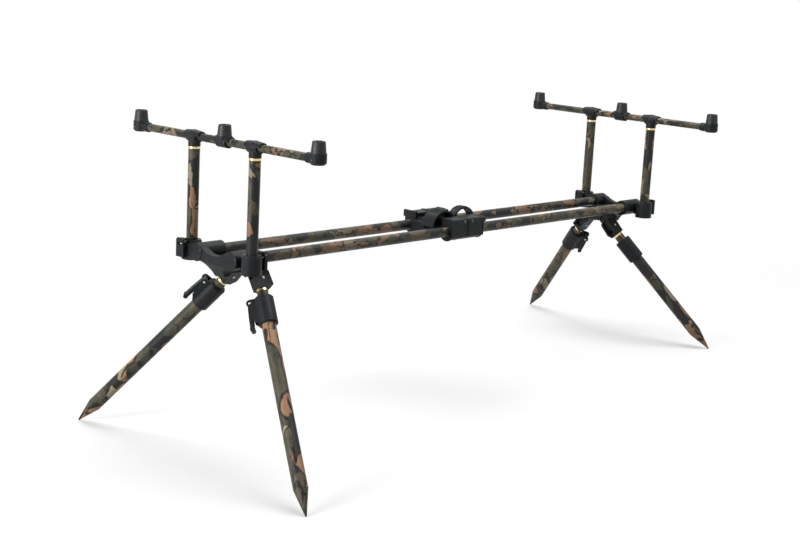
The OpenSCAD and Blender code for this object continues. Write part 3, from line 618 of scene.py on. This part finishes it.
fold = pin_ends("centre_fold", PIN_HALF["centre_fold"])
heads("fold_pin_heads", "rear_half", fold, DOME, FOLD_PIN_HEAD, DARK_STEEL)
for corner in CORNERS:
    for kind, finish in (("lock", STEEL), ("clamp", DARK_STEEL)):
        spots = pin_ends(f"{corner}_{kind}", PIN_HALF[kind])
        heads(f"{corner}_{kind}_pin_heads", f"{corner}_{kind}_lever", spots, DOME, LEVER_PIN_HEAD, finish)

for master in (DOME, SCREW, RIB):
    bpy.data.objects.remove(master)


# Floor, light and camera

FLOOR_REACH = 30.0
FLOOR_GREY = (0.40, 0.40, 0.40, 1)
FLOOR_LIFT = 0.46
FLOOR_FADE = (0.75, 1.3)
WHITE = (1, 1, 1, 1)
SKY_LIGHT = 0.096
SKY_MIRRORED = 0.8

# Place, aim, size and power of each light
LIGHTS = {
    "top_light": ((0.5, 0.1, 2.3), (0.2, 0.0, 0.2), (3.0, 1.2), 84.0),
    "side_light": ((-2.6, 0.4, 1.0), (0.0, 0.0, 0.25), (1.1, 1.3), 66.0),
    "front_light": ((0.9, -2.6, 1.3), (0.0, 0.0, 0.25), (1.6, 1.2), 5.0),
}

# The photograph's camera
LENS = 68.085
SENSOR_W = 36.0
FAR_CLIP = 100.0
CAMERA = Matrix(((0.697633, 0.165658, -0.697040, -1.693030),
                 (-0.716368, 0.176459, -0.675040, -1.569400),
                 (0.011173, 0.970268, 0.241776, 0.770213),
                 (0, 0, 0, 1)))


def pale_rays(tree):
    """1 for the rays that see the background: camera, mirror and clear rays."""
    path = add(tree, "ShaderNodeLightPath").outputs
    seen = calc(tree, "MAXIMUM", path["Is Camera Ray"], path["Is Glossy Ray"])
    return calc(tree, "MAXIMUM", seen, path["Is Transmission Ray"])


def studio_floor():
    """A pale floor that keeps the shadow near the pod and runs out to plain white."""
    mesh = bpy.data.meshes.new("studio_floor")
    corners = [(x * FLOOR_REACH, y * FLOOR_REACH, 0) for x, y in ((-1, -1), (1, -1), (1, 1), (-1, 1))]
    mesh.from_pydata(corners, [], [(0, 1, 2, 3)])
    floor = new_object("studio_floor", mesh)
    finish = bpy.data.materials.new("studio_white")
    finish.use_nodes = True
    tree = finish.node_tree
    tree.nodes.clear()
    seen = pale_rays(tree)
    place = add(tree, "ShaderNodeTexCoord").outputs["Object"]
    far = add(tree, "ShaderNodeVectorMath", {0: place}, operation="LENGTH").outputs["Value"]
    matt = add(tree, "ShaderNodeBsdfDiffuse", {"Color": FLOOR_GREY}).outputs[0]
    lift = calc(tree, "MULTIPLY", seen, FLOOR_LIFT)
    glow = add(tree, "ShaderNodeEmission", {"Strength": lift}).outputs[0]
    near = add(tree, "ShaderNodeAddShader", {0: matt, 1: glow}).outputs[0]
    white = add(tree, "ShaderNodeEmission", {"Strength": 1.0}).outputs[0]
    fade = calc(tree, "MULTIPLY", seen, steps(tree, far, *FLOOR_FADE))
    both = add(tree, "ShaderNodeMixShader", {0: fade, 1: near, 2: white}).outputs[0]
    add(tree, "ShaderNodeOutputMaterial", {"Surface": both})
    mesh.materials.append(finish)


def studio_world():
    """A dim sky that the camera sees as white and the metal mirrors as pale."""
    world = bpy.data.worlds.new("studio")
    world.use_nodes = True
    tree = world.node_tree
    tree.nodes.clear()
    strength = steps(tree, pale_rays(tree), 0.0, 1.0, SKY_LIGHT, SKY_MIRRORED)
    camera_ray = add(tree, "ShaderNodeLightPath").outputs["Is Camera Ray"]
    strength = calc(tree, "MAXIMUM", strength, camera_ray)
    sky = add(tree, "ShaderNodeBackground", {"Color": WHITE, "Strength": strength}).outputs[0]
    add(tree, "ShaderNodeOutputWorld", {"Surface": sky})
    bpy.context.scene.world = world


def soft_box(name, place, aim, size, power):
    lamp = bpy.data.lights.new(name, "AREA")
    lamp.shape = "RECTANGLE"
    lamp.size, lamp.size_y = size
    lamp.energy = power
    box = new_object(name, lamp)
    box.location = place
    box.rotation_euler = (Vector(aim) - Vector(place)).to_track_quat("-Z", "Y").to_euler()


def photo_camera():
    lens = bpy.data.cameras.new("camera")
    lens.sensor_fit = "HORIZONTAL"
    lens.sensor_width = SENSOR_W
    lens.lens = LENS
    lens.clip_end = FAR_CLIP
    view = new_object("camera", lens)
    view.matrix_world = CAMERA
    bpy.context.scene.camera = view


studio_floor()
studio_world()
for name, setup in LIGHTS.items():
    soft_box(name, *setup)
photo_camera()
bpy.context.scene.view_settings.view_transform = "Standard"
